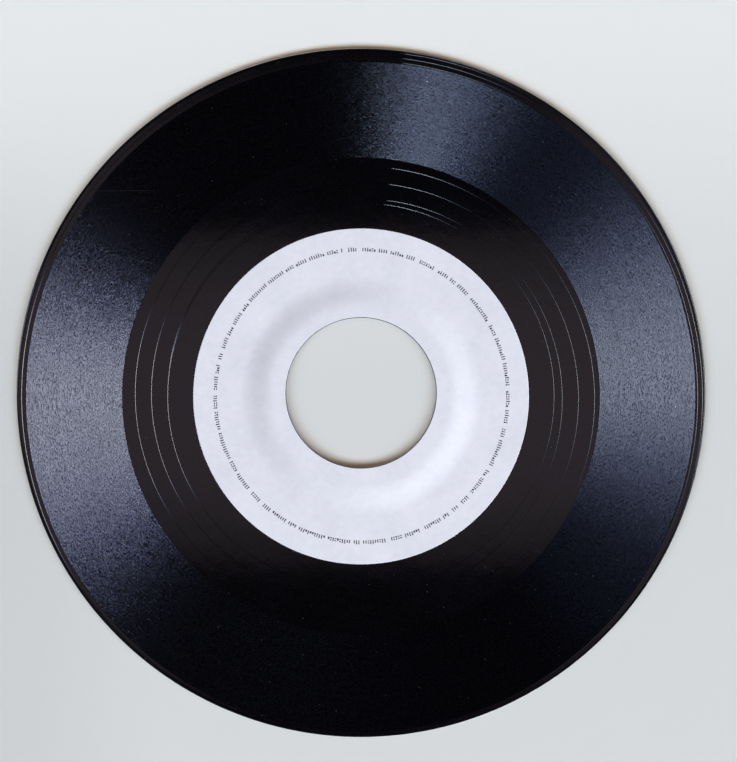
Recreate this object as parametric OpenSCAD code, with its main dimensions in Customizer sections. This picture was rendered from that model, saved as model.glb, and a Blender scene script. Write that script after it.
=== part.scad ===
// Extended play record, seven inches across, with the large centre hole.
// One pressed disc carries a paper label in a flush recess on each face.
// Frame: +Z points out of side A. The origin is on the axis of the hole, on
// the plane that the underside of the hub rests on. All sizes in millimetres.

/* [Outline] */
// Diameter over the trimmed outer edge
disc_d = 174.8; // [174.8:0.1:175.4]
// Diameter of the punched centre hole
hole_d = 38.2; // [38.0:0.05:38.6]
// Distance of the pressed centre (hub, label, grooves) from the hole axis, towards -Y
press_off = 0.9; // [0:0.1:0.9]

/* [Thickness] */
// Thickness over the labels at the hub
hub_t = 2.1; // [1.7:0.05:2.3]
// Thickness of the flat web that carries the grooves
web_t = 1.05; // [0.95:0.05:1.3]
// Height of the rim bead above the web, on each face
bead_h = 0.12; // [0.05:0.01:0.2]
// Width of the rim bead
bead_w = 0.7; // [0.6:0.05:0.7]
// Height of the flat that trimming leaves around the edge
edge_flat = 0.5; // [0.3:0.05:0.7]

/* [Hub] */
// Diameter of the flat top of the hub
hub_flat_d = 44.8; // [43:0.2:50]
// Diameter where the slope of the hub meets the web
hub_foot_d = 61.2; // [58:0.2:66]

/* [Labels] */
// Diameter of the paper labels
label_d = 85.2; // [80:0.2:90]
// Thickness of the paper
label_t = 0.1; // [0.08:0.01:0.15]
// Width of the ring of bare plastic between the hole and the cut edge of the paper
label_gap = 0.2; // [0.1:0.05:0.4]

/* [Grooves] */
// Inner diameter of the recorded band
band_in_d = 121.3; // [121.3:0.1:125]
// Outer diameter of the recorded band
band_out_d = 169.4; // [165:0.1:169.4]
// Number of rings that stand in for the fine turns of the recorded band
band_rings = 18; // [2:1:20]
// Width of one such ring at the surface
band_w = 0.24; // [0.16:0.02:0.3]
// Depth of one such ring
band_deep = 0.06; // [0.04:0.01:0.08]
// Diameter of the locked groove that ends each side
locked_d = 98.2; // [96:0.2:98.2]
// Inward step of the run-out spiral in half a turn
run_out_step = 2.05; // [1.8:0.05:2.05]
// Inward step of the lead-in spiral in half a turn
lead_in_step = 0.48; // [0.4:0.02:0.48]
// Outer diameter of the lead-in spiral
lead_in_d = 172.8; // [172.7:0.02:172.8]
// Width of the lead-in, run-out and locked grooves at the surface
lead_w = 0.16; // [0.1:0.02:0.18]
// Depth of the lead-in, run-out and locked grooves
lead_deep = 0.07; // [0.05:0.01:0.1]

/* [Hidden] */
$fn = 180;

disc_r = disc_d / 2;
label_r = label_d / 2;
flat_r = hub_flat_d / 2;
foot_r = hub_foot_d / 2;
web_z = web_t / 2;
hub_z = hub_t / 2;
slope_steps = 10;
round_steps = 6;
over = 0.2;          // how far the cutters stand out of the face

// Height of a face above the middle plane, at radius r from the pressed centre.
function face_z(r) =
    r <= flat_r ? hub_z :
    r >= foot_r ? web_z :
    web_z + (hub_z - web_z) * (0.5 + 0.5 * cos(180 * (r - flat_r) / (foot_r - flat_r)));

// Points down the slope of the hub, from its flat top out to the web.
function slope_pts(drop) = [
    for (i = [0 : slope_steps])
        let (r = flat_r + (foot_r - flat_r) * i / slope_steps)
            [r, face_z(r) - drop]
];

// Upper half of the rim: up onto the bead, over its crown, and round to the flat edge.
function rim_pts() = let (
    in_r = disc_r - bead_w,
    top_r = disc_r - bead_w * 0.57,
    top_z = web_z + bead_h,
    low_z = edge_flat / 2
) concat(
    [for (i = [0 : 4]) [in_r + (top_r - in_r) * i / 4, web_z + bead_h * (0.5 - 0.5 * cos(45 * i))]],
    [for (i = [1 : round_steps])
        [top_r + (disc_r - top_r) * sin(90 * i / round_steps),
         low_z + (top_z - low_z) * cos(90 * i / round_steps)]]
);

function flip_pts(p) = [for (i = [len(p) - 1 : -1 : 0]) [p[i][0], -p[i][1]]];

// Turned blank: flat web with the rounded, beaded rim, about the hole axis.
module blank() {
    rotate_extrude()
        polygon(concat([[0, web_z]], rim_pts(), flip_pts(rim_pts()), [[0, -web_z]]));
}

// Raised hub on both faces, about the pressed centre.
module hub() {
    translate([0, -press_off, 0])
        rotate_extrude()
            polygon(concat([[0, hub_z]], slope_pts(0), flip_pts(slope_pts(0)), [[0, -hub_z]]));
}

// Everything above the floor of the label's recess, on side A.
module label_recess() {
    translate([0, -press_off, 0])
        rotate_extrude()
            polygon(concat(
                [[0, hub_z + 1], [0, hub_z - label_t]],
                slope_pts(label_t),
                [[label_r, web_z - label_t], [label_r, hub_z + 1]]));
}

// Section of a V groove at radius r, open at the face of the web.
module v_section(r, w, deep) {
    half = w / 2 * (deep + over) / deep;
    polygon([[r, web_z - deep], [r + half, web_z + over], [r - half, web_z + over]]);
}

module v_ring(r, w, deep) {
    rotate_extrude() v_section(r, w, deep);
}

// One half turn of a spiral that runs inwards, anticlockwise, from radius r at
// the angle where it starts. Two centres a step apart make each pair of halves
// run on smoothly.
module half_turn(r, step, start, sweep = 180) {
    translate([start == 0 ? step / 2 : -step / 2, 0, 0])
        rotate([0, 0, start + 180 - sweep])
            rotate_extrude(angle = sweep) v_section(r - step / 2, lead_w, lead_deep);
}

// All grooves of one face, about the pressed centre.
module face_grooves() {
    translate([0, -press_off, 0]) {
        // recorded band
        for (i = [0 : band_rings - 1])
            v_ring(band_in_d / 2 + (band_out_d - band_in_d) / 2 * i / (band_rings - 1), band_w, band_deep);
        // lead-in: three half turns from the rim to the band
        for (i = [0 : 2])
            half_turn(lead_in_d / 2 - i * lead_in_step, lead_in_step, i % 2 == 0 ? 0 : 180);
        // run-out: from the band into the locked groove
        for (i = [0 : 4])
            half_turn(locked_d / 2 + (5 - i) * run_out_step, run_out_step, i % 2 == 0 ? 0 : 180);
        half_turn(locked_d / 2 + 6 * run_out_step, run_out_step, 180, 85);
        // locked groove
        v_ring(locked_d / 2, lead_w, lead_deep);
    }
}

module disc() {
    color([0.05, 0.045, 0.05])
        translate([0, 0, hub_z])
            difference() {
                union() {
                    blank();
                    hub();
                }
                label_recess();
                rotate([0, 180, 0]) label_recess();
                face_grooves();
                rotate([0, 180, 0]) face_grooves();
                cylinder(d = hole_d, h = hub_t + 2, center = true);
            }
}

// A label as pressed: a ring of paper that follows the hub and the web.
module label() {
    difference() {
        translate([0, -press_off, 0])
            rotate_extrude()
                polygon(concat(
                    [[0, hub_z - label_t], [0, hub_z]],
                    slope_pts(0),
                    [[label_r, web_z], [label_r, web_z - label_t]],
                    [for (i = [slope_steps : -1 : 0]) slope_pts(label_t)[i]]));
        cylinder(d = hole_d + 2 * label_gap, h = hub_t + 2, center = true);
    }
}

module label_side_a() {
    color([0.88, 0.9, 0.96])
        translate([0, 0, hub_z])
            label();
}

module label_side_b() {
    color([0.88, 0.9, 0.96])
        translate([0, 0, hub_z])
            rotate([0, 180, 0])
                label();
}

disc();
label_side_a();
label_side_b();
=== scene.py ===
import math

import bpy
import numpy as np
from mathutils import Matrix, Vector


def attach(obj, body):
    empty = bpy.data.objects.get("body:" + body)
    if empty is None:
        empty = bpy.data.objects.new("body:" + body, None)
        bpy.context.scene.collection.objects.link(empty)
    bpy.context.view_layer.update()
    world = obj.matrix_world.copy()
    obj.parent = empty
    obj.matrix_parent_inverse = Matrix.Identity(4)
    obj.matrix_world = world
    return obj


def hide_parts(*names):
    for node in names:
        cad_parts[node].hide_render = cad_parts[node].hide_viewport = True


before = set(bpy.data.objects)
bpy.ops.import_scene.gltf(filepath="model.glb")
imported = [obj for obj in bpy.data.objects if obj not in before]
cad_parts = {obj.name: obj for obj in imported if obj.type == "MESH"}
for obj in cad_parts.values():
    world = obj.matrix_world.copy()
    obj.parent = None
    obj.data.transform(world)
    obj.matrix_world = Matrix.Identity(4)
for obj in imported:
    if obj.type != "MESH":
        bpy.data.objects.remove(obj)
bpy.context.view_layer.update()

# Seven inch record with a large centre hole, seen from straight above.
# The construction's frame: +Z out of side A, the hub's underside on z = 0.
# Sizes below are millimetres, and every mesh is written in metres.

MM = 0.001
MID = 1.05          # height of the middle plane
OFF = -0.9          # y of the pressed centre: hub, labels and grooves
RIM_R = 87.4        # trimmed outer edge, about the hole axis
BORE_R = 19.04
HUB_Z = 1.05        # half thickness at the hub
WEB_Z = 0.525       # half thickness of the web
HUB_FLAT_R = 22.4
HUB_FOOT_R = 30.6
LABEL_R = 42.6
LABEL_HOLE_R = 19.20
LABEL_T = 0.1
BAND_IN = 60.50     # recorded band, about the pressed centre
BAND_OUT = 85.04
BAND_BED = 0.064    # depth of the bed that the band's mesh lies in
LAND_IN = 84.30     # from here the land rises gently to the bead, about the hole axis
LAND_SLOPE = 0.027
BEAD_IN = 86.70
BEAD_TOP = 87.0
BEAD_H = 0.12
EDGE_Z = 0.25
SLOPE_IN = 25.0     # tilt of the groove wall that faces the hole, degrees
SLOPE_OUT = 30.0    # tilt of the groove wall that faces the rim, degrees
TAN_IN = math.tan(math.radians(SLOPE_IN))
TAN_OUT = math.tan(math.radians(SLOPE_OUT))
RUN_DEEP = 0.028    # depth of the run-out, locked and lead-in grooves
LEAD_DEEP = 0.036
SWAY = 0.29         # how far the groove walls turn sideways, for the full range of the pattern


# ---------------------------------------------------------------- mesh tools

def make_object(name, verts, faces, material=None, smooth=True):
    """A mesh object from millimetre points about the middle plane."""
    me = bpy.data.meshes.new(name)
    v = np.asarray(verts, float).copy()
    v[:, 2] += MID
    me.from_pydata((v * MM).tolist(), [], faces)
    me.polygons.foreach_set("use_smooth", [smooth] * len(me.polygons))
    me.update()
    ob = bpy.data.objects.new(name, me)
    bpy.context.scene.collection.objects.link(ob)
    if material is not None:
        me.materials.append(material)
    return ob


def mark_sharp(ob, degrees):
    ob.data.set_sharp_from_angle(angle=math.radians(degrees))


def lathe(rings, seg):
    """Closed section turned about Z. Each ring is (centre y, radius, z)."""
    ang = np.arange(seg) * (2 * math.pi / seg)
    ca, sa = np.cos(ang), np.sin(ang)
    verts = np.concatenate([
        np.stack([r * ca, cy + r * sa, np.full(seg, z)], 1) for cy, r, z in rings])
    n = len(rings)
    # the section runs outwards over the top and back below, so this order faces out
    faces = [(i * seg + j, ((i + 1) % n) * seg + j,
              ((i + 1) % n) * seg + (j + 1) % seg, i * seg + (j + 1) % seg)
             for i in range(n) for j in range(seg)]
    return verts, faces


def turn_over(verts):
    """Side A's points carried to side B: half a turn about the Y axis."""
    v = np.asarray(verts, float).copy()
    v[:, 0] *= -1
    v[:, 2] *= -1
    return v


def smooth_step(t):
    t = np.clip(t, 0.0, 1.0)
    return t * t * (3 - 2 * t)


def hub_height(r):
    """Height of a face above the middle plane, at radius r from the pressed centre."""
    if r <= HUB_FLAT_R:
        return HUB_Z
    if r >= HUB_FOOT_R:
        return WEB_Z
    t = (r - HUB_FLAT_R) / (HUB_FOOT_R - HUB_FLAT_R)
    return WEB_Z + (HUB_Z - WEB_Z) * (0.5 + 0.5 * math.cos(math.pi * t))


def rim_height(r):
    """Height of the top face near the rim, r from the hole axis."""
    if r <= LAND_IN:
        return WEB_Z
    if r <= BEAD_IN:
        return WEB_Z + LAND_SLOPE * (r - LAND_IN)
    base = LAND_SLOPE * (BEAD_IN - LAND_IN)
    if r <= BEAD_TOP:
        return WEB_Z + base + (BEAD_H - base) * (0.5 - 0.5 * math.cos(math.pi * (r - BEAD_IN) / (BEAD_TOP - BEAD_IN)))
    if r >= RIM_R:
        return EDGE_Z
    s = (r - BEAD_TOP) / (RIM_R - BEAD_TOP)
    return EDGE_Z + (WEB_Z + BEAD_H - EDGE_Z) * math.sqrt(max(0.0, 1 - s * s))


# ---------------------------------------------------------------- materials

def new_material(name):
    mat = bpy.data.materials.new(name)
    mat.use_nodes = True
    nt = mat.node_tree
    bsdf = nt.nodes["Principled BSDF"]
    return mat, nt, bsdf


class Nodes:
    """Short names for building a node tree."""

    def __init__(self, nt):
        self.nt = nt

    def add(self, kind, **values):
        n = self.nt.nodes.new(kind)
        for k, v in values.items():
            setattr(n, k, v)
        return n

    def link(self, a, b):
        self.nt.links.new(a, b)

    def math(self, op, a, b=None, c=None, clamp=False):
        n = self.add("ShaderNodeMath", operation=op, use_clamp=clamp)
        for i, x in enumerate((a, b, c)):
            if x is None:
                continue
            if isinstance(x, (int, float)):
                n.inputs[i].default_value = x
            else:
                self.link(x, n.inputs[i])
        return n.outputs[0]

    def noise(self, vector, scale, detail=2.0, rough=0.5, kind="FBM"):
        n = self.add("ShaderNodeTexNoise", noise_dimensions="3D", noise_type=kind)
        n.inputs["Scale"].default_value = scale
        n.inputs["Detail"].default_value = detail
        n.inputs["Roughness"].default_value = rough
        self.link(vector, n.inputs["Vector"])
        return n.outputs["Fac"]

    def ramp(self, fac, stops):
        n = self.add("ShaderNodeValToRGB")
        el = n.color_ramp.elements
        while len(el) > 1:
            el.remove(el[-1])
        first = True
        for pos, col in stops:
            e = el[0] if first else el.new(pos)
            first = False
            e.position = pos
            e.color = (*col, 1.0)
        self.link(fac, n.inputs[0])
        return n.outputs[0]

    def mix(self, fac, a, b):
        n = self.add("ShaderNodeMix", data_type="RGBA")
        for sock, x in ((n.inputs[0], fac), (n.inputs[6], a), (n.inputs[7], b)):
            if isinstance(x, (int, float)):
                sock.default_value = x
            elif isinstance(x, tuple):
                sock.default_value = (*x, 1.0)
            else:
                self.link(x, sock)
        return n.outputs[2]

    def millimetres(self):
        """Position on the object, in millimetres."""
        t = self.add("ShaderNodeTexCoord")
        s = self.add("ShaderNodeVectorMath", operation="SCALE")
        self.link(t.outputs["Object"], s.inputs[0])
        s.inputs["Scale"].default_value = 1000.0
        return s.outputs[0]

    def groove_vector(self, vector, along):
        """Coordinates that follow the grooves: radius across, and a closed loop along them, along times stretched."""
        sep = self.add("ShaderNodeSeparateXYZ")
        self.link(vector, sep.inputs[0])
        x, y = sep.outputs[0], self.math("SUBTRACT", sep.outputs[1], OFF)
        r = self.math("SQRT", self.math("ADD", self.math("MULTIPLY", x, x), self.math("MULTIPLY", y, y)))
        k = self.math("DIVIDE", 72.0 / along, r)
        out = self.add("ShaderNodeCombineXYZ")
        self.link(r, out.inputs[0])
        self.link(self.math("MULTIPLY", x, k), out.inputs[1])
        self.link(self.math("MULTIPLY", y, k), out.inputs[2])
        return out.outputs[0], r

    def specks(self, vector, cell, size, share):
        """Mask of small round specks seen from above, a few of the cells holding one."""
        v = self.add("ShaderNodeTexVoronoi", voronoi_dimensions="2D", feature="F1")
        v.inputs["Scale"].default_value = 1.0 / cell
        v.inputs["Randomness"].default_value = 1.0
        self.link(vector, v.inputs["Vector"])
        sep = self.add("ShaderNodeSeparateColor")
        self.link(v.outputs["Color"], sep.inputs[0])
        # radius differs from cell to cell, and most cells have none
        radius = self.math("MULTIPLY", self.math("SUBTRACT", sep.outputs[0], 1.0 - share, clamp=True), size / cell / share)
        edge = self.math("SUBTRACT", radius, v.outputs["Distance"])
        return self.math("MULTIPLY", edge, 40.0, clamp=True)

    def hairline(self, vector, x0, x1, y, slope, half):
        """Mask of a straight fine scratch on side A, from x0 to x1 at about y."""
        sep = self.add("ShaderNodeSeparateXYZ")
        self.link(vector, sep.inputs[0])
        off = self.math("SUBTRACT", self.math("MULTIPLY_ADD", sep.outputs[0], -slope, sep.outputs[1]), y - slope * x0)
        line = self.math("SUBTRACT", 1.0, self.math("DIVIDE", self.math("ABSOLUTE", off), half), clamp=True)
        mid, reach = (x0 + x1) / 2, abs(x1 - x0) / 2
        ends = self.math("SUBTRACT", reach, self.math("ABSOLUTE", self.math("SUBTRACT", sep.outputs[0], mid)))
        ends = self.math("MULTIPLY", ends, 0.4, clamp=True)
        top = self.math("GREATER_THAN", sep.outputs[2], MID)
        return self.math("MULTIPLY", self.math("MULTIPLY", line, ends), top)

    def shifted(self, vector, x, y, z):
        """The same coordinates from another place, for a pattern that has nothing to do with the first."""
        n = self.add("ShaderNodeVectorMath", operation="ADD")
        self.link(vector, n.inputs[0])
        n.inputs[1].default_value = (x, y, z)
        return n.outputs[0]

    def bump(self, height, distance, strength=1.0, normal=None):
        n = self.add("ShaderNodeBump")
        n.inputs["Strength"].default_value = strength
        n.inputs["Distance"].default_value = distance
        self.link(height, n.inputs["Height"])
        if normal is not None:
            self.link(normal, n.inputs["Normal"])
        return n.outputs[0]


def vinyl_material(name, grooved):
    """Black pressed vinyl. The grooved kind also carries the unevenness of the groove walls."""
    mat, nt, bsdf = new_material(name)
    N = Nodes(nt)
    pos = N.millimetres()
    dust = N.specks(pos, 2.1, 0.110, 0.11)
    lint = N.specks(pos, 12.0, 0.21, 0.14)
    dirt = N.math("MAXIMUM", dust, lint)
    scratch = N.hairline(pos, -69.7, -52.2, 51.25, 0.004, 0.10)
    dirt = N.math("MAXIMUM", dirt, N.math("MULTIPLY", scratch, 0.12))
    patches = N.noise(pos, 0.05, 3.0)
    wipe = N.noise(pos, 0.35, 4.0, 0.6)
    ripple = N.noise(pos, 0.12, 2.0)
    normal = N.bump(ripple, 0.00001)
    if grooved:
        # the plain margin of the band is smooth, like the rest of the face
        geo = N.add("ShaderNodeNewGeometry")
        facing = N.add("ShaderNodeSeparateXYZ")
        N.link(geo.outputs["True Normal"], facing.inputs[0])
        walls = N.math("LESS_THAN", N.math("ABSOLUTE", facing.outputs[2]), 0.985)
        # the cut sound: each turn's walls wander, a little longer along the groove than across it
        fine = N.noise(pos, 4.5, 1.0, 0.5)
        along, r = N.groove_vector(pos, 2.6)
        wave = N.noise(along, 4.1, 1.0, 0.5)
        drift = N.noise(N.shifted(pos, 31.7, 12.3, 7.1), 3.9, 1.0, 0.5)
        turns = N.add("ShaderNodeTexNoise", noise_dimensions="1D")
        N.link(r, turns.inputs["W"])
        turns.inputs["Scale"].default_value = 0.95
        turns.inputs["Detail"].default_value = 2.0
        grain = N.math("SUBTRACT", N.math("MULTIPLY_ADD", fine, 0.47, N.math("MULTIPLY", wave, 0.53)), 0.5)
        sway = N.math("MULTIPLY", N.math("SUBTRACT", drift, 0.5), walls)
        loud = N.math("MULTIPLY_ADD", N.math("SUBTRACT", turns.outputs["Fac"], 0.5), 0.06, grain)
        black = N.ramp(N.math("MULTIPLY_ADD", loud, 3.2, 0.5, clamp=True), [(0.0, (0.0012, 0.0011, 0.0018)), (0.5, (0.0056, 0.0052, 0.0082)), (1.0, (0.0160, 0.0148, 0.0220))])
        level = N.math("MULTIPLY_ADD", loud, 1.9, 0.5)
        level = N.math("MINIMUM", N.math("MAXIMUM", level, 0.12), 1.1)
        level = N.math("MULTIPLY", level, N.math("SUBTRACT", 1.0, dirt))
        N.link(level, bsdf.inputs["Specular IOR Level"])
        # the fine grooves spread the light into colours, and most of what comes back is blue
        bsdf.inputs["Specular Tint"].default_value = (0.71, 0.76, 0.97, 1.0)
        N.link(N.math("MULTIPLY", N.math("MULTIPLY", level, walls), 0.35), bsdf.inputs["Coat Weight"])
        bsdf.inputs["Coat Roughness"].default_value = 0.30
        bsdf.inputs["Coat IOR"].default_value = 1.5
        # the walls turn a little to either side of the groove's own direction
        sep = N.add("ShaderNodeSeparateXYZ")
        N.link(along, sep.inputs[0])
        side = N.add("ShaderNodeCombineXYZ")
        N.link(N.math("MULTIPLY", sep.outputs[2], -SWAY / 20.0), side.inputs[0])
        N.link(N.math("MULTIPLY", sep.outputs[1], SWAY / 20.0), side.inputs[1])
        turn = N.add("ShaderNodeVectorMath", operation="SCALE")
        N.link(side.outputs[0], turn.inputs[0])
        N.link(sway, turn.inputs["Scale"])
        lean = N.add("ShaderNodeVectorMath", operation="ADD")
        N.link(normal, lean.inputs[0])
        N.link(turn.outputs[0], lean.inputs[1])
        unit = N.add("ShaderNodeVectorMath", operation="NORMALIZE")
        N.link(lean.outputs[0], unit.inputs[0])
        normal = N.bump(fine, 0.000007, normal=unit.outputs[0])
        base_rough = N.math("MULTIPLY_ADD", wipe, 0.04, 0.036)
        base_rough = N.math("MULTIPLY_ADD", walls, 0.114, base_rough)
    else:
        haze = N.math("MULTIPLY_ADD", N.noise(pos, 3.4, 1.0, 0.5), 0.75, N.math("MULTIPLY", patches, 0.25))
        black = N.ramp(haze, [(0.36, (0.0030, 0.0027, 0.0044)), (0.50, (0.0098, 0.0090, 0.0140)), (0.66, (0.0230, 0.0215, 0.0310))])
        fine = N.noise(pos, 1.2, 2.0, 0.5)
        normal = N.bump(fine, 0.0000012, normal=normal)
        base_rough = N.math("MULTIPLY_ADD", wipe, 0.02, 0.036)
    colour = N.mix(dirt, black, (0.72, 0.70, 0.62))
    N.link(colour, bsdf.inputs["Base Color"])
    rough = N.math("MAXIMUM", base_rough, N.math("MULTIPLY", dirt, 0.8))
    N.link(rough, bsdf.inputs["Roughness"])
    bsdf.inputs["IOR"].default_value = 1.54
    if not grooved:
        N.link(N.math("MULTIPLY_ADD", dirt, -0.5, 0.5), bsdf.inputs["Specular IOR Level"])
    N.link(N.bump(dirt, 0.00003, normal=normal), bsdf.inputs["Normal"])
    return mat


def paper_material():
    mat, nt, bsdf = new_material("label_paper")
    N = Nodes(nt)
    pos = N.millimetres()
    cloud = N.noise(pos, 0.09, 3.0, 0.55)
    mottle = N.noise(pos, 0.55, 4.0, 0.6)
    fibre = N.noise(pos, 3.2, 2.0, 0.6)
    tone = N.math("ADD", N.math("MULTIPLY", cloud, 0.45), N.math("ADD", N.math("MULTIPLY", mottle, 0.35), N.math("MULTIPLY", fibre, 0.20)))
    colour = N.ramp(tone, [(0.28, (0.672, 0.686, 0.792)), (0.50, (0.750, 0.765, 0.868)), (0.74, (0.828, 0.840, 0.934))])
    flecks = N.specks(pos, 6.0, 0.20, 0.16)
    colour = N.mix(N.math("MULTIPLY", flecks, 0.35), colour, (0.30, 0.30, 0.36))
    N.link(colour, bsdf.inputs["Base Color"])
    rough = N.math("MULTIPLY_ADD", mottle, 0.12, 0.50)
    N.link(rough, bsdf.inputs["Roughness"])
    bsdf.inputs["IOR"].default_value = 1.46
    bsdf.inputs["Specular IOR Level"].default_value = 0.35
    normal = N.bump(fibre, 0.000006)
    normal = N.bump(mottle, 0.00001, normal=normal)
    N.link(normal, bsdf.inputs["Normal"])
    return mat


def ink_material():
    mat, nt, bsdf = new_material("label_ink")
    N = Nodes(nt)
    pos = N.millimetres()
    uneven = N.noise(pos, 4.0, 2.0)
    colour = N.ramp(uneven, [(0.3, (0.012, 0.013, 0.022)), (0.7, (0.034, 0.036, 0.052))])
    N.link(colour, bsdf.inputs["Base Color"])
    N.link(N.math("MULTIPLY_ADD", uneven, 0.15, 0.45), bsdf.inputs["Roughness"])
    bsdf.inputs["IOR"].default_value = 1.5
    return mat


vinyl = vinyl_material("vinyl_pressed", False)
vinyl_grooved = vinyl_material("vinyl_grooved", True)
paper = paper_material()
ink = ink_material()


# ---------------------------------------------------------------- the disc

def disc_section():
    """Rings of the disc's upper half, from the bore out to the rim."""
    rings = [(0, BORE_R, 0.86), (0, BORE_R + 0.015, 0.905), (0, BORE_R + 0.05, 0.938), (0, BORE_R + 0.10, 0.95)]
    rings.append((OFF, 21.6, 0.95))
    for i in range(11):
        r = HUB_FLAT_R + (HUB_FOOT_R - HUB_FLAT_R) * i / 10
        rings.append((OFF, r, hub_height(r) - LABEL_T))
    rings.append((OFF, LABEL_R + 0.03, WEB_Z - LABEL_T))
    # edge of the label's seat, a little rounded
    rings += [(OFF, LABEL_R + 0.035, WEB_Z - 0.03), (OFF, LABEL_R + 0.05, WEB_Z - 0.008), (OFF, LABEL_R + 0.09, WEB_Z)]
    rings.append((OFF, LABEL_R + 0.20, WEB_Z))
    rings += [(OFF, BAND_IN - 0.02, WEB_Z), (OFF, BAND_IN - 0.012, WEB_Z - BAND_BED)]
    rings += [(OFF, BAND_OUT + 0.012, WEB_Z - BAND_BED), (OFF, BAND_OUT + 0.02, WEB_Z)]
    rings += [(0, BEAD_IN - 0.03, rim_height(BEAD_IN - 0.03)), (0, BEAD_IN, rim_height(BEAD_IN))]
    steps = 8
    for i in range(1, steps + 1):
        r = BEAD_IN + (BEAD_TOP - BEAD_IN) * i / steps
        rings.append((0, r, rim_height(r)))
    steps = 12
    for i in range(1, steps + 1):
        a = math.pi / 2 * i / steps
        rings.append((0, BEAD_TOP + (RIM_R - BEAD_TOP) * math.sin(a), EDGE_Z + (WEB_Z + BEAD_H - EDGE_Z) * math.cos(a)))
    return rings


def groove_cutter(name, radius_of, t0, t1, deep, taper0, taper1, step=1.5):
    """Closed V-shaped sweep along a spiral, t in degrees anticlockwise about the pressed centre."""
    count = int(math.ceil((t1 - t0) / step)) + 1
    rows = []
    over = 0.05
    for i in range(count):
        t = t0 + (t1 - t0) * i / (count - 1)
        fade = 1.0
        if taper0:
            fade *= float(smooth_step((t - t0) / taper0))
        if taper1:
            fade *= float(smooth_step((t1 - t) / taper1))
        d = max(deep * fade, 0.0015)
        r = radius_of(t)
        a = math.radians(t)
        x, y = r * math.cos(a), OFF + r * math.sin(a)
        top = rim_height(math.hypot(x, y))
        ca, sa = math.cos(a), math.sin(a)
        k = d + over
        for rr, z in ((r, top - d), (r + k / TAN_IN, top + over), (r - k / TAN_OUT, top + over)):
            rows.append((rr * ca, OFF + rr * sa, z))
    faces = []
    for i in range(count - 1):
        a, b = 3 * i, 3 * (i + 1)
        for j in range(3):
            k = (j + 1) % 3
            faces.append((a + j, b + j, b + k, a + k))
    faces.append((0, 1, 2))
    e = 3 * (count - 1)
    faces.append((e + 2, e + 1, e))
    return np.array(rows), faces


def ring_cutter(r, deep, seg=480):
    over = 0.05
    k = deep + over
    rings = [(OFF, r, WEB_Z - deep), (OFF, r - k / TAN_OUT, WEB_Z + over), (OFF, r + k / TAN_IN, WEB_Z + over)]
    return lathe(rings, seg)


def oriented(verts, faces):
    """Faces turned so that the closed mesh's volume is positive."""
    v = np.asarray(verts, float)
    vol = 0.0
    for f in faces:
        a = v[f[0]]
        for i in range(1, len(f) - 1):
            vol += np.dot(a, np.cross(v[f[i]], v[f[i + 1]]))
    return faces if vol > 0 else [tuple(reversed(f)) for f in faces]


def lead_in(t):
    return 87.87 - 1.2 * t / 360.0


def run_out(t):
    return 59.30 - 4.10 * t / 360.0


def build_disc():
    top = disc_section()
    bottom = [(cy, r, -z) for cy, r, z in reversed(top)]
    verts, faces = lathe(top + bottom, 480)
    # the outer edge of the band's bed follows the rising land
    k = [t[1] for t in top].index(BAND_OUT + 0.02)
    for ring in (k, 2 * len(top) - 1 - k):
        for v in verts[ring * 480:(ring + 1) * 480]:
            v[2] = math.copysign(rim_height(math.hypot(v[0], v[1])), v[2])
    faces = oriented(verts, faces)
    disc = make_object("disc_body", verts, faces, vinyl)
    # the run-out ends in the locked groove, and the lead-in ends in the band
    cuts = [
        groove_cutter("run_out", run_out, -102.0, 893.0, RUN_DEEP, 14.0, 6.0),
        ring_cutter(49.02, RUN_DEEP),
        groove_cutter("lead_in", lead_in, 24.0, 846.0, LEAD_DEEP, 10.0, 20.0, 1.2),
    ]
    cutters = []
    for side in (0, 1):
        for i, (v, f) in enumerate(cuts):
            vv = turn_over(v) if side else v
            cutters.append(make_object("cutter_%d_%d" % (side, i), vv, oriented(vv, f), None, False))
    for c in cutters:
        m = disc.modifiers.new(c.name, "BOOLEAN")
        m.operation = "DIFFERENCE"
        m.solver = "MANIFOLD"
        m.object = c
    bpy.context.view_layer.update()
    dg = bpy.context.evaluated_depsgraph_get()
    cut = bpy.data.meshes.new_from_object(disc.evaluated_get(dg))
    disc.modifiers.clear()
    old = disc.data
    disc.data = cut
    bpy.data.meshes.remove(old)
    for c in cutters:
        me = c.data
        bpy.data.objects.remove(c)
        bpy.data.meshes.remove(me)
    cut.name = "disc_body"
    cut.materials.clear()
    cut.materials.append(vinyl)
    cut.polygons.foreach_set("material_index", [0] * len(cut.polygons))
    cut.polygons.foreach_set("use_smooth", [True] * len(cut.polygons))
    mark_sharp(disc, 14.0)
    return disc


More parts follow.
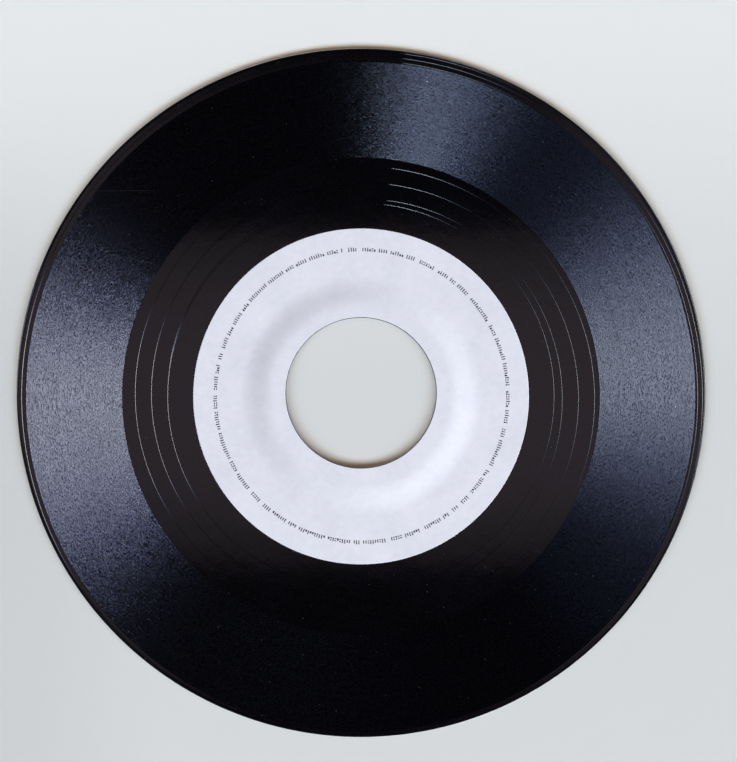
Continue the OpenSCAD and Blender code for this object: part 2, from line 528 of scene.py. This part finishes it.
def build_grooves(name, side):
    """The recorded band: one groove that runs inwards, anticlockwise, with true walls."""
    seg = 318
    turns = 151
    r0 = BAND_OUT - 0.012
    pitch = (r0 - BAND_IN - 0.012) / (turns + 1)
    deep = pitch / (1 / TAN_IN + 1 / TAN_OUT)
    w_in = deep / TAN_IN
    K = 2 * turns + 1
    ang = np.arange(seg) * (2 * math.pi / seg)
    j = np.arange(seg)
    ca, sa = np.cos(ang), np.sin(ang)
    rng = np.random.RandomState(11 + side)
    depth_of_turn = deep * np.clip(1 + 0.02 * rng.randn(turns), 0.96, 1.04)
    R = np.zeros((seg, K))
    Z = np.zeros((seg, K))
    for k in range(K):
        shift = pitch * (j / seg + k // 2)
        if k % 2 == 0:
            R[:, k] = r0 - shift
            Z[:, k] = WEB_Z
        else:
            d = np.full(seg, float(depth_of_turn[k // 2]))
            nxt = float(depth_of_turn[min(k // 2 + 1, turns - 1)])
            blend = smooth_step((j / seg - 0.8) / 0.2)
            d = d * (1 - blend) + nxt * blend
            if k == 1:
                d = d * smooth_step((j - 2) / 30.0)
            if k == K - 2:
                d = d * smooth_step((seg - 3 - j) / 30.0)
            R[:, k] = r0 - shift - w_in
            Z[:, k] = WEB_Z - d
    verts = []

    def ring(r, z):
        start = len(verts)
        for c, s in zip(ca, sa):
            verts.append((r * c, OFF + r * s, z))
        return start

    low = WEB_Z - BAND_BED + 0.002
    a_top = ring(BAND_OUT, WEB_Z)
    a_low = ring(BAND_OUT, low)
    b_low = ring(BAND_IN, low)
    b_top = ring(BAND_IN, WEB_Z)
    base = len(verts)
    X = R * ca[:, None]
    Y = OFF + R * sa[:, None]
    grid = np.stack([X, Y, Z], 2).reshape(-1, 3)
    verts = np.concatenate([np.array(verts), grid])

    def g(col, k):
        return base + col * K + k

    faces = []
    for c in range(seg):
        n = (c + 1) % seg
        faces.append((a_low + c, a_low + n, a_top + n, a_top + c))
        faces.append((b_low + c, b_low + n, a_low + n, a_low + c))
        faces.append((b_top + c, b_top + n, b_low + n, b_low + c))
        if n:
            faces.append((a_top + c, a_top + n, g(n, 0), g(c, 0)))
            faces.append((b_top + n, b_top + c, g(c, K - 1), g(n, K - 1)))
            for k in range(K - 1):
                faces.append((g(c, k), g(n, k), g(n, k + 1), g(c, k + 1)))
        else:
            faces.append((a_top + c, a_top, g(0, 0), g(0, 1), g(0, 2), g(c, 0)))
            faces.append((b_top, b_top + c, g(c, K - 1), g(c, K - 2), g(c, K - 3), g(0, K - 1)))
            for k in range(K - 3):
                faces.append((g(c, k), g(0, k + 2), g(0, k + 3), g(c, k + 1)))
    if side:
        verts = turn_over(verts)
    ob = make_object(name, verts, faces, vinyl_grooved)
    me = ob.data
    # the walls are flat across and smooth along the groove
    col = np.concatenate([np.tile(np.arange(seg), 4), np.repeat(np.arange(seg), K)])
    ev = np.zeros(len(me.edges) * 2, np.int32)
    me.edges.foreach_get("vertices", ev)
    ev = ev.reshape(-1, 2)
    sharp = col[ev[:, 0]] != col[ev[:, 1]]
    at = me.attributes.get("sharp_edge") or me.attributes.new("sharp_edge", "BOOLEAN", "EDGE")
    at.data.foreach_set("value", sharp)
    me.update()
    return ob


def build_label(name, side):
    """Thin paper ring pressed over the hub and the web."""
    up = [(0, LABEL_HOLE_R, HUB_Z - LABEL_T + 0.004), (0, LABEL_HOLE_R, HUB_Z - 0.02),
          (0, LABEL_HOLE_R + 0.008, HUB_Z - 0.006), (0, LABEL_HOLE_R + 0.025, HUB_Z), (0, LABEL_HOLE_R + 0.1, HUB_Z)]
    up.append((OFF, HUB_FLAT_R - 0.6, HUB_Z))
    steps = 24
    for i in range(steps + 1):
        r = HUB_FLAT_R + (HUB_FOOT_R - HUB_FLAT_R) * i / steps
        up.append((OFF, r, hub_height(r)))
    up += [(OFF, HUB_FOOT_R + 0.4, WEB_Z), (OFF, LABEL_R - 0.15, WEB_Z), (OFF, LABEL_R - 0.035, WEB_Z),
           (OFF, LABEL_R - 0.01, WEB_Z - 0.008), (OFF, LABEL_R, WEB_Z - 0.03), (OFF, LABEL_R, WEB_Z - LABEL_T + 0.004)]
    down = [(OFF, HUB_FOOT_R + 0.4, WEB_Z - LABEL_T + 0.004)]
    for i in range(12, -1, -1):
        r = HUB_FLAT_R + (HUB_FOOT_R - HUB_FLAT_R) * i / 12
        down.append((OFF, r, hub_height(r) - LABEL_T + 0.004))
    down.append((OFF, HUB_FLAT_R - 0.6, HUB_Z - LABEL_T + 0.004))
    verts, faces = lathe(up + down, 360)
    if side:
        verts = turn_over(verts)
    ob = make_object(name, verts, oriented(verts, faces), paper)
    mark_sharp(ob, 35.0)
    return ob


def build_print(name, side):
    """Fine printed ring: plain ticks of uneven height in groups. They spell nothing."""
    r_mid = 37.2
    pitch = 0.60
    count = int(2 * math.pi * r_mid / pitch)
    verts, faces = [], []
    z0, z1 = WEB_Z - 0.01, WEB_Z + 0.006

    def slab(a, r_lo, r_hi, width):
        half = width / 2 / r_mid
        start = len(verts)
        for z in (z0, z1):
            for r, s in ((r_lo, -1), (r_hi, -1), (r_hi, 1), (r_lo, 1)):
                t = a + s * half
                # the printing lies a little off the centre of the paper
                verts.append((0.14 + r * math.cos(t), OFF + 0.14 + r * math.sin(t), z))
        for f in ((0, 1, 2, 3), (7, 6, 5, 4), (0, 4, 5, 1), (1, 5, 6, 2), (2, 6, 7, 3), (3, 7, 4, 0)):
            faces.append(tuple(start + i for i in f))

    rng = np.random.RandomState(5 + side)
    i = 0
    while i < count:
        group = int(rng.choice([3, 4, 5, 6, 7, 8, 10, 12], p=[.10, .13, .16, .17, .15, .13, .10, .06]))
        for g in range(group):
            if i + g >= count - 2:
                break
            a = math.radians(95) - 2 * math.pi * (i + g) / count
            kind = rng.rand()
            low = r_mid - 0.50
            if kind < 0.26:        # tall tick
                slab(a, low, low + 1.0, 0.24)
            elif kind < 0.56:      # short tick
                slab(a, low, low + 0.80, 0.25)
            elif kind < 0.72:      # two dashes
                slab(a, low + 0.02, low + 0.25, 0.44)
                slab(a, low + 0.56, low + 0.80, 0.44)
            elif kind < 0.84:      # wide low mark
                slab(a, low, low + 0.56, 0.40)
            else:                  # stem with a foot
                slab(a, low + 0.20, low + 0.95, 0.20)
                slab(a, low, low + 0.20, 0.42)
        i += group + int(rng.choice([1, 1, 1, 2]))
    v = np.array(verts)
    if side:
        v = turn_over(v)
    return make_object(name, v, oriented(v, faces), ink, False)


# ---------------------------------------------------------------- bake layout

def set_uv(ob, how):
    """One flat map per piece: the face from above in full, hidden faces small and out of its way."""
    me = ob.data
    nl = len(me.loops)
    vi = np.zeros(nl, np.int32)
    me.loops.foreach_get("vertex_index", vi)
    co = np.zeros(len(me.vertices) * 3)
    me.vertices.foreach_get("co", co)
    co = co.reshape(-1, 3)[vi] / MM
    co[:, 2] -= MID
    total = np.zeros(len(me.polygons), np.int32)
    me.polygons.foreach_get("loop_total", total)
    pn = np.zeros(len(me.polygons) * 3)
    me.polygons.foreach_get("normal", pn)
    pn = np.repeat(pn.reshape(-1, 3), total, axis=0)
    pc = np.zeros(len(me.polygons) * 3)
    me.polygons.foreach_get("center", pc)
    pc = np.repeat(pc.reshape(-1, 3), total, axis=0) / MM
    uv = how(co, pn, pc)
    for layer in list(me.uv_layers):
        me.uv_layers.remove(layer)
    layer = me.uv_layers.new(name="OFBake")
    layer.data.foreach_set("uv", uv.astype(np.float32).ravel())
    me.update()


def uv_disc(co, pn, pc):
    s = 0.286 / RIM_R
    uv = np.zeros((len(co), 2))
    top = pn[:, 2] > 0.3
    low = pn[:, 2] < -0.3
    wall = ~(top | low)
    uv[top] = np.stack([0.293 + co[top, 0] * s, 0.707 + co[top, 1] * s], 1)
    uv[low] = np.stack([0.707 - co[low, 0] * s, 0.293 + co[low, 1] * s], 1)
    ang = np.arctan2(co[:, 1], co[:, 0])
    mid = np.arctan2(pc[:, 1], pc[:, 0])
    ang = mid + (ang - mid + math.pi) % (2 * math.pi) - math.pi
    ang = (ang + math.pi) / (2 * math.pi)
    rad = np.hypot(pc[:, 0], pc[:, 1])
    outer = wall & (rad > 60)
    inner = wall & (rad < 25)
    seat = wall & ~(outer | inner)
    uv[outer] = np.stack([0.01 + 0.26 * ang[outer], 0.05 + 0.03 * co[outer, 2] + 0.0005 * (co[outer][:, 0] * 0)], 1)
    uv[inner] = np.stack([0.73 + 0.25 * ang[inner], 0.95 + 0.03 * co[inner, 2]], 1)
    uv[seat] = np.stack([0.01 + 0.22 * ang[seat], 0.12 + 0.02 * co[seat, 2]], 1)
    return uv


def uv_ring(outer_r, f_low, flip):
    def how(co, pn, pc):
        x = -co[:, 0] if flip else co[:, 0]
        y = co[:, 1] - OFF
        nz = -pn[:, 2] if flip else pn[:, 2]
        z = -co[:, 2] if flip else co[:, 2]
        s = np.where(nz > 0.3, 1.0, f_low)
        r = np.maximum(np.hypot(x, y), 1e-6)
        rc = np.hypot(pc[:, 0], pc[:, 1] - OFF)
        wall = np.abs(nz) <= 0.3
        big = wall & (rc > outer_r * 0.85)
        small = wall & ~big
        want = np.where(big, outer_r * (f_low * 0.55 + 0.06 * z), outer_r * (f_low * 0.30 + 0.04 * z))
        s = np.where(big | small, want / r, s)
        k = 0.492 / outer_r
        return np.stack([0.5 + x * s * k, 0.5 + y * s * k], 1)
    return how


# ---------------------------------------------------------------- the pieces

disc = build_disc()
set_uv(disc, uv_disc)
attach(disc, "root")

grooves_a = build_grooves("grooves_side_a", 0)
grooves_b = build_grooves("grooves_side_b", 1)
for ob, flip in ((grooves_a, False), (grooves_b, True)):
    set_uv(ob, uv_ring(BAND_OUT, 0.62, flip))
    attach(ob, "root")

label_a = build_label("label_paper_side_a", 0)
label_b = build_label("label_paper_side_b", 1)
for ob, flip in ((label_a, False), (label_b, True)):
    set_uv(ob, uv_ring(LABEL_R + 0.6, 0.40, flip))
    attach(ob, "root")

print_a = build_print("printed_ring_side_a", 0)
print_b = build_print("printed_ring_side_b", 1)
for ob in (print_a, print_b):
    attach(ob, "root")

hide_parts("disc")
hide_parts("label_side_a")
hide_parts("label_side_b")


# ---------------------------------------------------------------- floor and world

def floor_material():
    mat, nt, bsdf = new_material("backdrop")
    N = Nodes(nt)
    pos = N.millimetres()
    sep = N.add("ShaderNodeSeparateXYZ")
    N.link(pos, sep.inputs[0])
    # painted light and shade on the backdrop: paler towards the far edge, and painted shade a little darker at the near
    # left, evening out away from the disc
    up = N.math("MULTIPLY_ADD", sep.outputs[1], 1.0 / 1200.0, 0.5, clamp=True)
    colour = N.ramp(up, [(0.0, (0.645, 0.666, 0.676)), (0.30, (0.600, 0.620, 0.630)), (0.416, (0.612, 0.632, 0.645)),
                         (0.466, (0.606, 0.626, 0.638)), (0.50, (0.598, 0.618, 0.630)), (0.534, (0.640, 0.659, 0.670)),
                         (0.572, (0.706, 0.730, 0.742)), (0.60, (0.722, 0.746, 0.758)), (0.72, (0.700, 0.720, 0.731)),
                         (1.0, (0.665, 0.686, 0.696))])
    left = N.add("ShaderNodeMapRange", interpolation_type="SMOOTHSTEP")
    left.inputs[1].default_value = -45.0
    left.inputs[2].default_value = -92.0
    N.link(sep.outputs[0], left.inputs[0])
    near = N.add("ShaderNodeMapRange", interpolation_type="SMOOTHSTEP")
    near.inputs[1].default_value = 80.0
    near.inputs[2].default_value = 15.0
    N.link(sep.outputs[1], near.inputs[0])
    out = N.add("ShaderNodeVectorMath", operation="LENGTH")
    N.link(pos, out.inputs[0])
    away = N.add("ShaderNodeMapRange", interpolation_type="SMOOTHSTEP")
    away.inputs[1].default_value = 420.0
    away.inputs[2].default_value = 150.0
    N.link(out.outputs["Value"], away.inputs[0])
    # painted shade: the near left of the backdrop is darkened by up to 9 percent close to the disc
    painted_left_shade = N.math("MULTIPLY", N.math("MULTIPLY", left.outputs[0], near.outputs[0]), away.outputs[0])
    colour = N.mix(N.math("MULTIPLY", painted_left_shade, 0.09), colour, (0.0, 0.0, 0.0))
    N.link(colour, bsdf.inputs["Base Color"])
    bsdf.inputs["Roughness"].default_value = 0.9
    bsdf.inputs["Specular IOR Level"].default_value = 0.1
    # seen from below, the floor is open, so that the underside can be looked at
    geo = N.add("ShaderNodeNewGeometry")
    clear = N.add("ShaderNodeBsdfTransparent")
    mixer = N.add("ShaderNodeMixShader")
    out = nt.nodes["Material Output"]
    N.link(geo.outputs["Backfacing"], mixer.inputs[0])
    N.link(bsdf.outputs[0], mixer.inputs[1])
    N.link(clear.outputs[0], mixer.inputs[2])
    N.link(mixer.outputs[0], out.inputs["Surface"])
    return mat


def build_floor():
    me = bpy.data.meshes.new("floor")
    s = 6.0
    z = -0.00003
    me.from_pydata([(-s, -s, z), (s, -s, z), (s, s, z), (-s, s, z)], [], [(0, 1, 2, 3)])
    me.materials.append(floor_material())
    ob = bpy.data.objects.new("floor", me)
    bpy.context.scene.collection.objects.link(ob)
    return ob


floor = build_floor()


def build_world():
    world = bpy.data.worlds.new("studio")
    bpy.context.scene.world = world
    world.use_nodes = True
    nt = world.node_tree
    N = Nodes(nt)
    bg = nt.nodes["Background"]
    tc = N.add("ShaderNodeTexCoord")
    sep = N.add("ShaderNodeSeparateXYZ")
    N.link(tc.outputs["Generated"], sep.inputs[0])
    # pale wall round the horizon, dark ceiling
    colour = N.ramp(sep.outputs[2], [(0.0, (0.70, 0.72, 0.735)), (0.10, (0.62, 0.64, 0.655)), (0.26, (0.012, 0.012, 0.018))])
    N.link(colour, bg.inputs["Color"])
    bg.inputs["Strength"].default_value = 1.0


build_world()


def build_ceiling():
    """Pale ceiling for views from below. Only the camera sees it, so the disc keeps its dark reflections."""
    me = bpy.data.meshes.new("ceiling")
    s = 30.0
    me.from_pydata([(-s, -s, 4.0), (-s, s, 4.0), (s, s, 4.0), (s, -s, 4.0)], [], [(0, 1, 2, 3)])
    mat = bpy.data.materials.new("ceiling")
    mat.use_nodes = True
    nt = mat.node_tree
    nt.nodes.clear()
    N = Nodes(nt)
    em = N.add("ShaderNodeEmission")
    em.inputs["Color"].default_value = (0.62, 0.64, 0.655, 1.0)
    out = N.add("ShaderNodeOutputMaterial")
    N.link(em.outputs[0], out.inputs["Surface"])
    mat.cycles.emission_sampling = "NONE"
    me.materials.append(mat)
    ob = bpy.data.objects.new("ceiling", me)
    bpy.context.scene.collection.objects.link(ob)
    ob.visible_diffuse = False
    ob.visible_glossy = False
    ob.visible_transmission = False
    ob.visible_shadow = False
    return ob


build_ceiling()


# ---------------------------------------------------------------- lights

def group(name, *objects):
    c = bpy.data.collections.new(name)
    for o in objects:
        c.objects.link(o)
    return c


lit_vinyl = group("lit_vinyl", disc, grooves_a, grooves_b)
lit_label = group("lit_label", label_a, label_b, print_a, print_b)
lit_floor = group("lit_floor", floor)
pieces = group("pieces", disc, grooves_a, grooves_b, label_a, label_b, print_a, print_b)


def direction(azimuth, zenith):
    a, z = math.radians(azimuth), math.radians(zenith)
    return Vector((math.sin(z) * math.cos(a), math.sin(z) * math.sin(a), math.cos(z)))


def arc_light(name, az, zen, dist, radiance, colour, faint, az_glow, zen_soft, receivers):
    """A curved softbox: a piece of the sphere of radius dist. az_glow is the brightness along it, as (azimuth, share) stops.

    The colour goes over to faint where it is dim."""
    n_az = max(8, int((az[1] - az[0]) / 2.0))
    n_z = 8
    verts, glow, core, faces = [], [], [], []
    for i in range(n_az + 1):
        a = az[0] + (az[1] - az[0]) * i / n_az
        ga = float(np.interp(a, [s[0] for s in az_glow], [s[1] for s in az_glow]))
        for j in range(n_z + 1):
            z = zen[0] + (zen[1] - zen[0]) * j / n_z
            u = min(j, n_z - j) / n_z * (zen[1] - zen[0])
            gz = float(smooth_step(u / zen_soft)) if zen_soft else 1.0
            verts.append(direction(a, z) * dist)
            glow.append(ga * gz)
            core.append(ga)
    for i in range(n_az):
        for j in range(n_z):
            p = i * (n_z + 1) + j
            faces.append((p, p + 1, p + n_z + 2, p + n_z + 1))
    me = bpy.data.meshes.new(name)
    me.from_pydata(verts, [], faces)
    me.update()
    if me.polygons[0].normal.dot(me.polygons[0].center) > 0:
        me.flip_normals()
    for key, values in (("glow", glow), ("core", core)):
        at = me.attributes.new(key, "FLOAT", "POINT")
        at.data.foreach_set("value", values)
    mat = bpy.data.materials.new(name)
    mat.use_nodes = True
    nt = mat.node_tree
    nt.nodes.clear()
    N = Nodes(nt)
    em = N.add("ShaderNodeEmission")
    attr = N.add("ShaderNodeAttribute", attribute_name="glow")
    across = N.add("ShaderNodeAttribute", attribute_name="core")
    dim = N.math("POWER", N.math("SUBTRACT", 1.0, across.outputs["Fac"], clamp=True), 1.8)
    N.link(N.mix(dim, colour, faint), em.inputs["Color"])
    N.link(N.math("MULTIPLY", attr.outputs["Fac"], radiance), em.inputs["Strength"])
    out = N.add("ShaderNodeOutputMaterial")
    N.link(em.outputs[0], out.inputs["Surface"])
    mat.cycles.emission_sampling = "FRONT"
    me.materials.append(mat)
    ob = bpy.data.objects.new(name, me)
    bpy.context.scene.collection.objects.link(ob)
    ob.visible_camera = False
    ob.visible_shadow = False
    ob.visible_diffuse = False
    ob.light_linking.receiver_collection = receivers
    return ob


def sun_light(name, azimuth, zenith, angle, strength, colour, receivers):
    """A soft light from very far off, so that the floor is evenly lit to the horizon."""
    li = bpy.data.lights.new(name, "SUN")
    li.angle = math.radians(angle)
    li.energy = strength
    li.color = colour
    ob = bpy.data.objects.new(name, li)
    bpy.context.scene.collection.objects.link(ob)
    d = direction(azimuth, zenith)
    ob.location = d * 3.0
    ob.rotation_mode = "QUATERNION"
    ob.rotation_quaternion = d.to_track_quat("Z", "Y")
    ob.light_linking.receiver_collection = receivers
    return ob


def panel_light(name, azimuth, zenith, dist, size_x, size_y, power, colour, receivers, roll=0.0, glossy=True):
    li = bpy.data.lights.new(name, "AREA")
    li.shape = "RECTANGLE"
    li.size = size_x
    li.size_y = size_y
    li.energy = power
    li.color = colour
    ob = bpy.data.objects.new(name, li)
    bpy.context.scene.collection.objects.link(ob)
    d = direction(azimuth, zenith)
    ob.location = d * dist
    ob.rotation_mode = "QUATERNION"
    q = d.to_track_quat("Z", "Y")
    ob.rotation_quaternion = q @ Matrix.Rotation(math.radians(roll), 3, "Z").to_quaternion()
    ob.visible_camera = False
    ob.visible_glossy = glossy
    ob.light_linking.receiver_collection = receivers
    return ob


# highlights in the grooves: the same lamp seen by the walls that face the rim, and lower down by those that face the hole
arc_light("side_light_low", (-45, 60), (59, 72), 1.5, 14.0, (0.935, 1.0, 1.08), (0.82, 1.0, 1.60),
          [(-35, 0.02), (-27, 0.04), (-20, 0.13), (-15, 0.25), (-10, 0.48), (-5, 0.78), (0, 0.97), (5, 1.0), (10, 0.95),
           (15, 0.83), (20, 0.65), (25, 0.46), (30, 0.27), (35, 0.12), (40, 0.05), (48, 0.03), (60, 0.02)], 5.0, lit_vinyl)
arc_light("side_light_high", (-50, 60), (39, 51), 1.5, 16.9, (1.02, 1.0, 1.02), (0.83, 1.0, 1.98),
          [(-50, 0.0), (-30, 0.0), (-25, 0.0), (-21, 0.09), (-17, 0.36), (-13, 0.68), (-9.5, 0.88), (-6, 1.0), (-1, 1.0),
           (5, 0.91), (12, 0.80), (17, 0.74), (22, 0.61), (26, 0.38), (30, 0.14), (34, 0.02), (38, 0.0), (60, 0.0)], 5.0, lit_vinyl)
arc_light("top_light", (50, 83), (60, 67), 1.5, 17.9, (0.85, 1.0, 1.22), (0.78, 1.0, 1.65),
          [(50, 0.03), (58, 0.05), (63, 0.10), (67, 0.28), (71, 0.68), (75, 1.0), (79, 1.0), (83, 0.72)], 3.5, lit_vinyl)


def card(name, z, mid, half, reach, strength):
    """Dim warm card above the camera, mirrored by the flat parts of the disc, and clear towards its long edges."""
    verts, glow, faces = [], [], []
    xs = (-reach, reach)
    ys = [mid - h for h, _ in half] + [mid + h for h, _ in reversed(half)]
    share = [g for _, g in half] + [g for _, g in reversed(half)]
    for y, s in zip(ys, share):
        for x in xs:
            verts.append((x + 0.002, y, z))
            glow.append(s)
    for i in range(len(ys) - 1):
        p = 2 * i
        faces.append((p, p + 2, p + 3, p + 1))
    me = bpy.data.meshes.new(name)
    me.from_pydata(verts, [], faces)
    me.update()
    if me.polygons[0].normal.z > 0:
        me.flip_normals()
    at = me.attributes.new("glow", "FLOAT", "POINT")
    at.data.foreach_set("value", glow)
    mat = bpy.data.materials.new(name)
    mat.use_nodes = True
    nt = mat.node_tree
    nt.nodes.clear()
    N = Nodes(nt)
    em = N.add("ShaderNodeEmission")
    em.inputs["Color"].default_value = (0.93, 0.78, 0.92, 1.0)
    em.inputs["Strength"].default_value = strength
    clear = N.add("ShaderNodeBsdfTransparent")
    attr = N.add("ShaderNodeAttribute", attribute_name="glow")
    mixer = N.add("ShaderNodeMixShader")
    N.link(attr.outputs["Fac"], mixer.inputs[0])
    N.link(clear.outputs[0], mixer.inputs[1])
    N.link(em.outputs[0], mixer.inputs[2])
    out = N.add("ShaderNodeOutputMaterial")
    N.link(mixer.outputs[0], out.inputs["Surface"])
    mat.cycles.emission_sampling = "NONE"
    me.materials.append(mat)
    ob = bpy.data.objects.new(name, me)
    bpy.context.scene.collection.objects.link(ob)
    ob.visible_camera = False
    ob.visible_shadow = False
    ob.visible_diffuse = False
    return ob


card("strip_card", 1.45, -0.0066, [(0.101, 0.0), (0.095, 0.10), (0.0855, 0.42), (0.0635, 0.70), (0.044, 0.93), (0.018, 1.0)], 0.7, 0.52)
card("high_card", 3.0, 0.0, [(0.140, 0.0), (0.122, 0.9), (0.06, 1.0)], 0.5, 0.13)

# the label's shading over the hub comes from the right and a little from below
panel_light("label_key", -27, 70, 6.0, 1.5, 2.6, 880.0, (1.0, 1.0, 1.0), lit_label, glossy=False)
panel_light("label_fill", 180, 36, 0.9, 0.7, 0.7, 1.65, (1.0, 1.0, 1.0), lit_label, glossy=False)
# soft light on the backdrop, from the near side, which leaves the shadow past the far edge
# the lamp is a long one, drawn here as rows of suns side by side, and what fills its shadow is warmer
for y, strength, colour in ((0.55, 0.549, (0.99, 1.0, 1.0)), (0.95, 0.855, (0.81, 1.0, 1.166))):
    for i in range(-3, 4):
        x = 0.5 * i
        sun_light("near_lamp_%d_%d" % (round(y * 100), i + 3), math.degrees(math.atan2(-y, x)),
                  math.degrees(math.atan(math.hypot(x, y))), 15, strength / (1 + x * x + y * y), colour, lit_floor)
sun_light("overhead", 90, 2, 60, 0.52, (1.55, 1.0, 0.55), lit_floor)
# shows up the dust on the vinyl
panel_light("dust_light", 90, 8, 1.5, 1.0, 1.0, 1.9, (1.0, 1.0, 1.0), lit_vinyl, glossy=False)
# lights the underside for views from below, through the floor
for name, key_az, key_zen, power, receivers in (
        ("under_key", -60, 163, 12.0, lit_vinyl), ("under_fill", 120, 150, 5.0, lit_vinyl), ("under_label", -60, 150, 8.5, lit_label)):
    under = panel_light(name, key_az, key_zen, 1.3, 0.7, 0.7, power, (1.0, 1.0, 1.0), receivers)
    under.light_linking.blocker_collection = pieces


# ---------------------------------------------------------------- camera

cam_data = bpy.data.cameras.new("camera")
cam = bpy.data.objects.new("camera", cam_data)
bpy.context.scene.collection.objects.link(cam)
CAM_H = 1.2016
cam.location = (0.0019, 0.0030, CAM_H)
cam.rotation_euler = (0.0, 0.0, 0.0)
cam_data.sensor_width = 36.0
cam_data.lens = 36.0 * (CAM_H - 0.0016) / 0.19334
cam_data.clip_start = 0.05
cam_data.clip_end = 30.0
cam_data.dof.use_dof = False
bpy.context.scene.camera = cam

bpy.context.scene.view_settings.view_transform = "Standard"
bpy.context.scene.view_settings.look = "None"
bpy.context.scene.view_settings.exposure = 0.0
bpy.context.scene.view_settings.gamma = 1.0

bpy.context.view_layer.update()
